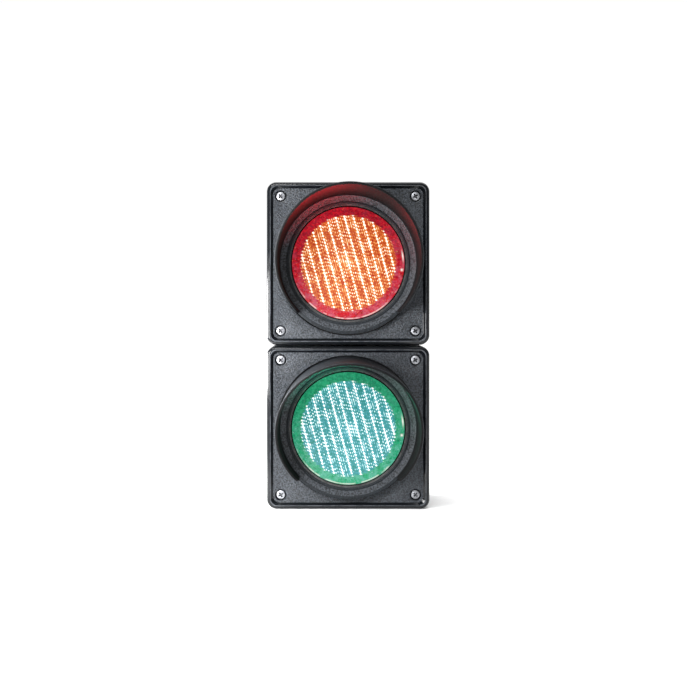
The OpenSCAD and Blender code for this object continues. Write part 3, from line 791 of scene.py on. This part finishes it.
def visor_stations():
    """The angles of the visor's sections, whether each has a hood, and its pinch."""
    step = 0.45
    fine_steps = 16
    coarse_steps = 104
    opening_steps = 36
    fine = [HALF_HOOD - step * k for k in range(fine_steps + 1)]
    half_coarse = fine[-1]
    coarse = [half_coarse - (2 * half_coarse) * k / coarse_steps for k in range(1, coarse_steps)]
    pinches = list(END_PINCH) + [0.0] * (len(fine) - len(END_PINCH))
    end = list(zip(fine, pinches))
    opening = 360 - 2 * HALF_HOOD
    stations = [(angle, True, pinch) for angle, pinch in end]
    stations += [(angle, True, 0.0) for angle in coarse]
    stations += [(-angle, True, pinch) for angle, pinch in reversed(end)]
    stations += [(-HALF_HOOD - opening * k / opening_steps, False, 0.0)
                 for k in range(opening_steps + 1)]
    return stations


def mark_visor(shell):
    """Marks the inside of the hood's wall, and the flat ring between it and the lens."""
    wall_r = VISOR_R - COLLAR_EDGE_SOFT
    wall_foot = COLLAR_F + 2.0
    ring_r = LIP_R + 3.0
    for index, corners in enumerate(shell.faces):
        points = [shell.points[c] for c in corners]
        radius = max(math.hypot(p[0], p[1]) for p in points)
        if radius < wall_r and max(p[2] for p in points) > wall_foot:
            shell.marks[index] = VISOR_HOOD_INSIDE
        elif ring_r < radius < VISOR_IN_R and min(p[2] for p in points) > ANNULUS_F:
            shell.marks[index] = VISOR_COLLAR


def make_visor(colour, at):
    shell = Shell()
    rings = []
    for angle, hood, pinch in visor_stations():
        a = math.radians(angle)
        rings.append(shell.loop([(r * math.sin(a), r * math.cos(a), f)
                                 for r, f in visor_section(angle, hood, pinch)]))
    for a, b in zip(rings, rings[1:] + rings[:1]):
        shell.bridge(a, b)
    mark_visor(shell)
    piece = shell.build(colour + "_hood_moulding", at, [VISOR, HOOD_INSIDE, COLLAR], sharp=38.0)
    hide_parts(colour + "_visor")
    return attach(piece, colour + "_visor_unit")


# ---------------------------------------------------------------- lens

def make_lens(colour, at):
    look = lens_plastic(colour + "_lens_plastic", at.centre, LENS_COLOURS[colour])
    shell = Shell()
    dome_r = (LENS_R ** 2 + LENS_RISE ** 2) / (2 * LENS_RISE)
    dome_f = LENS_EDGE_F + LENS_RISE - dome_r
    front_steps = 24
    back_steps = 12
    profile = []
    for k in range(1, front_steps + 1):
        r = (LENS_R - 0.5) * k / front_steps
        profile.append((r, dome_f + math.sqrt(dome_r ** 2 - r ** 2)))
    profile += [(LENS_R - 0.12, LENS_EDGE_F - 0.10), (LENS_R, LENS_EDGE_F - 0.45),
                (LENS_R, FLANGE_F), (FLANGE_R, FLANGE_F), (FLANGE_R, FLANGE_BACK_F),
                (LENS_R - LENS_WALL, FLANGE_BACK_F)]
    for k in range(back_steps, 0, -1):
        r = (LENS_R - LENS_WALL - 0.6) * k / back_steps
        profile.append((r, dome_f + math.sqrt((dome_r - LENS_WALL) ** 2 - r ** 2)))
    rings = [shell.loop(circle(0, 0, r, f, LENS_POINTS)) for r, f in profile]
    for a, b in zip(rings, rings[1:]):
        shell.bridge(a, b)
    for ring, f in ((rings[0], LENS_EDGE_F + LENS_RISE),
                    (rings[-1], LENS_EDGE_F + LENS_RISE - LENS_WALL)):
        crown = shell.loop([(0, 0, f)])[0]
        for i in range(len(ring)):
            shell.face([crown, ring[i], ring[(i + 1) % len(ring)]])
    piece = shell.build(colour + "_lens_dome", at, [look], sharp=40.0)
    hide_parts(colour + "_lens")
    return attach(piece, colour + "_visor_unit")


# ---------------------------------------------------------------- cover screws

def clamp(value):
    return min(1.0, max(0.0, value))


def head_height(r):
    """The f of the head's domed top at this radius."""
    return HEAD_F + HEAD_H - HEAD_DOME * (r / HEAD_R) ** 2.6


def recess_depth(u, v):
    """How deep the cross recess is at this point of the head."""
    taper = 0.06
    side_slope = 0.32
    end_slope = 0.55
    well_slope = 0.5
    deepest = 0.0
    for along, across in ((u, v), (v, u)):
        wide = RECESS_HALF_WIDTH - taper * abs(along)
        side = clamp((wide + side_slope / 2 - abs(across)) / side_slope)
        end = clamp((RECESS_ARM - abs(along)) / end_slope)
        deepest = max(deepest, side * end)
    well = clamp((RECESS_WELL_R - math.hypot(u, v)) / well_slope)
    return RECESS_DEPTH * deepest + RECESS_WELL_DEPTH * deepest * well


def head_rings(shell, cu, cv, turn):
    """The loops of the head's recessed top, from its edge to its middle."""
    rings = []
    for k in range(HEAD_RINGS, 0, -1):
        r = HEAD_TOP_R * k / HEAD_RINGS
        points = []
        for i in range(HEAD_POINTS):
            a = 2 * math.pi * i / HEAD_POINTS
            f = head_height(r) - recess_depth(r * math.cos(a), r * math.sin(a))
            a += turn
            points.append((cu + r * math.cos(a), cv + r * math.sin(a), f))
        rings.append(shell.loop(points))
    return rings


def add_screw(shell, cu, cv, turn):
    """One pan-head screw: domed head with a cross recess, and its shank."""
    shank = [(SHANK_R - 0.6, SHANK_END_F), (SHANK_R, SHANK_END_F + 0.6), (SHANK_R, HEAD_F)]
    side = [(HEAD_R - 0.15, HEAD_F), (HEAD_R, HEAD_F + 0.15), (HEAD_R, HEAD_F + 1.3),
            (HEAD_R - 0.1, HEAD_F + 1.75), (HEAD_R - 0.4, head_height(HEAD_R - 0.4))]
    rings = [shell.loop(circle(cu, cv, r, f, HEAD_POINTS)) for r, f in shank + side]
    rings += head_rings(shell, cu, cv, turn)
    crown = shell.loop([(cu, cv, head_height(0) - recess_depth(0, 0))])[0]
    start = len(shell.faces)
    for a, b in zip(rings, rings[1:]):
        shell.bridge(a, b)
    for i in range(HEAD_POINTS):
        shell.face([crown, rings[-1][i], rings[-1][(i + 1) % HEAD_POINTS]])
    mark_recess_shade(shell, start, cu, cv)
    shell.face(rings[0])


def mark_recess_shade(shell, start, cu, cv):
    """Marks the faces of one screw, from a face's number on, that are down in its recess, for
    painted shade.
    """
    for index in range(start, len(shell.faces)):
        corners = [shell.points[c] for c in shell.faces[index]]
        u = sum(p[0] for p in corners) / len(corners) - cu
        v = sum(p[1] for p in corners) / len(corners) - cv
        f = sum(p[2] for p in corners) / len(corners)
        top = head_height(math.hypot(u, v))
        if HEAD_F + 0.5 < f < top - RECESS_SHADE_DEPTH:
            shell.marks[index] = SCREW_RECESS_SHADE


def make_screws(colour, at, turns):
    shell = Shell()
    for (su, sv), turn in zip(CORNERS, turns):
        add_screw(shell, su * SCREW_PLACE, sv * SCREW_PLACE, turn)
    piece = shell.build(colour + "_pan_screws", at, [PLATED, RECESS_SHADE], sharp=50.0)
    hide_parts(colour + "_cover_screws")
    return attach(piece, colour + "_cover")


# ---------------------------------------------------------------- all pieces

# how far each screw's recess is turned, in radians
TURNS = {"red": (0.55, 0.75, 0.70, 0.62), "green": (0.60, 0.72, 0.55, 0.80)}
for colour in COLOURS:
    at = place(colour)
    make_cover(colour, at)
    make_visor(colour, at)
    make_lens(colour, at)
    make_screws(colour, at, TURNS[colour])

# the CAD nodes that show as they are: each unit's own, then those that the units share
KEPT = {
    "housing": HOUSING, "cover_gasket": BLACK_RUBBER, "threaded_inserts": BRASS,
    "screw_seals": BLACK_RUBBER, "visor_seal": BLACK_RUBBER, "visor_ring": SPRING,
    "lens_seal": SEAL_RUBBER, "lens_clamp": CLAMP, "led_board": LAMINATE,
    "led_driver": DRIVER, "board_screws": ZINC, "terminal_block": TERMINAL,
    "terminal_screws": ZINC, "block_screws": ZINC, "led_leads": SLEEVE,
}
SHARED = {
    "coupling_nipple": ZINC, "coupling_seal": BLACK_RUBBER, "lower_locknut": ZINC,
    "upper_locknut": ZINC, "bottom_plug": HOUSING, "bottom_plug_nut": ZINC, "top_plug": HOUSING,
    "top_plug_nut": ZINC, "cable_grommet": BLACK_RUBBER, "feed_socket": TERMINAL,
    "feed_tail": JACKET, "feed_plug": TERMINAL, "feed_cable": JACKET,
}


def paint(node, material):
    """Gives a CAD node one material, and leaves its mesh as it is."""
    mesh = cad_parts[node].data
    mesh.materials.clear()
    mesh.materials.append(material)


for colour in COLOURS:
    for part, material in KEPT.items():
        paint(colour + "_" + part, material)
    paint(colour + "_leds", led_resin(colour + "_led", LED_TINT[colour]))
for node, material in SHARED.items():
    paint(node, material)


# ---------------------------------------------------------------- floor and light

def area_light(name, location, target, size, watts, colour=(1, 1, 1), size_y=None):
    """A lamp that faces the target, in metres: square, or a rectangle if size_y is given."""
    data = bpy.data.lights.new(name, "AREA")
    data.energy = watts
    data.color = colour
    data.size = size
    if size_y:
        data.shape = "RECTANGLE"
        data.size_y = size_y
    lamp = bpy.data.objects.new(name, data)
    lamp.location = location
    lamp.rotation_euler = (Vector(target) - Vector(location)).to_track_quat("-Z", "Y").to_euler()
    bpy.context.scene.collection.objects.link(lamp)
    return lamp


def make_floor():
    reach = 20
    mesh = bpy.data.meshes.new("floor")
    mesh.from_pydata([(-reach, -reach, 0), (reach, -reach, 0), (reach, reach, 0),
                      (-reach, reach, 0)], [], [(0, 1, 2, 3)])
    look = Look("floor", (0.9, 0.9, 0.9))
    cloud = look.spread(look.noise(300), 0.3, 0.7)
    colour = look.mix(cloud, (0.93, 0.93, 0.93), (0.96, 0.96, 0.96))
    mesh.materials.append(look.put(colour=colour, rough=0.9, specular=0.1))
    floor = bpy.data.objects.new("floor", mesh)
    bpy.context.scene.collection.objects.link(floor)
    return floor


def make_world():
    """White for the camera. For light it is dim in front of the object and brighter behind."""
    world = bpy.data.worlds.new("studio")
    world.use_nodes = True
    nodes = world.node_tree.nodes
    wire = world.node_tree.links.new
    direction = nodes.new("ShaderNodeTexCoord")
    apart = nodes.new("ShaderNodeSeparateXYZ")
    wire(direction.outputs["Generated"], apart.inputs[0])
    fade = nodes.new("ShaderNodeMapRange")
    fade.interpolation_type = "SMOOTHSTEP"
    for socket, value in zip(fade.inputs[1:5], (-0.6, 0.6, 0.14, 0.62)):
        socket.default_value = value
    wire(apart.outputs[1], fade.inputs[0])
    surround = nodes["Background"]
    wire(fade.outputs[0], surround.inputs["Strength"])
    surround.inputs["Color"].default_value = (1, 1, 1, 1)
    white = nodes.new("ShaderNodeBackground")
    white.inputs["Strength"].default_value = 1.02
    white.inputs["Color"].default_value = (1, 1, 1, 1)
    path = nodes.new("ShaderNodeLightPath")
    choice = nodes.new("ShaderNodeMixShader")
    wire(path.outputs["Is Camera Ray"], choice.inputs[0])
    wire(surround.outputs[0], choice.inputs[1])
    wire(white.outputs[0], choice.inputs[2])
    wire(choice.outputs[0], nodes["World Output"].inputs["Surface"])
    return world


def make_sun():
    data = bpy.data.lights.new("overhead", "SUN")
    data.energy = 2.6
    data.angle = math.radians(80)
    sun = bpy.data.objects.new("overhead", data)
    sun.rotation_euler = (math.radians(-8), 0, 0)
    bpy.context.scene.collection.objects.link(sun)


# the light that each lens throws on the inside of its visor: its colour, then the lamps that
# stand in for it, with their name, place and aim in the unit's frame, size in metres and watts
GLOW = {"red": (1.0, 0.012, 0.03), "green": (0.0, 0.70, 0.38)}
GLOW_LIGHTS = (
    ("whole", (0, 0, 16), (0, 0, 1), 0.112, 0.005),
    ("left", (-14, 32, 58), (-0.38, 0.90, 0.10), 0.035, 0.20),
    ("right", (38, 20, 56), (0.85, 0.35, 0.10), 0.020, 0.05),
)


def make_glow(colour):
    at = place(colour)
    for label, spot, aim, size, watts in GLOW_LIGHTS:
        target = at(*(a + b for a, b in zip(spot, aim)))
        glow = area_light(colour + "_glow_" + label, at(*spot), target, size, watts, GLOW[colour])
        glow.data.shape = "DISK"
        glow.visible_camera = False
        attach(glow, colour + "_visor_unit")


make_floor()
bpy.context.scene.world = make_world()
area_light("key", (-0.25, -0.25, 0.178), (-0.06, -0.045, 0.172), size=0.16, watts=2.5)
area_light("crest", (-0.36, -0.95, 0.95), (-0.06, -0.045, 0.17), size=0.55, watts=9.0,
           size_y=0.08)
area_light("front", (-0.10, -1.45, 0.55), (0.0, -0.045, 0.22), size=0.55, watts=2.0)
area_light("edge", (-0.36, 0.03, 0.171), (-0.085, -0.045, 0.171), size=0.14, watts=4.0)
make_sun()
for colour in COLOURS:
    make_glow(colour)
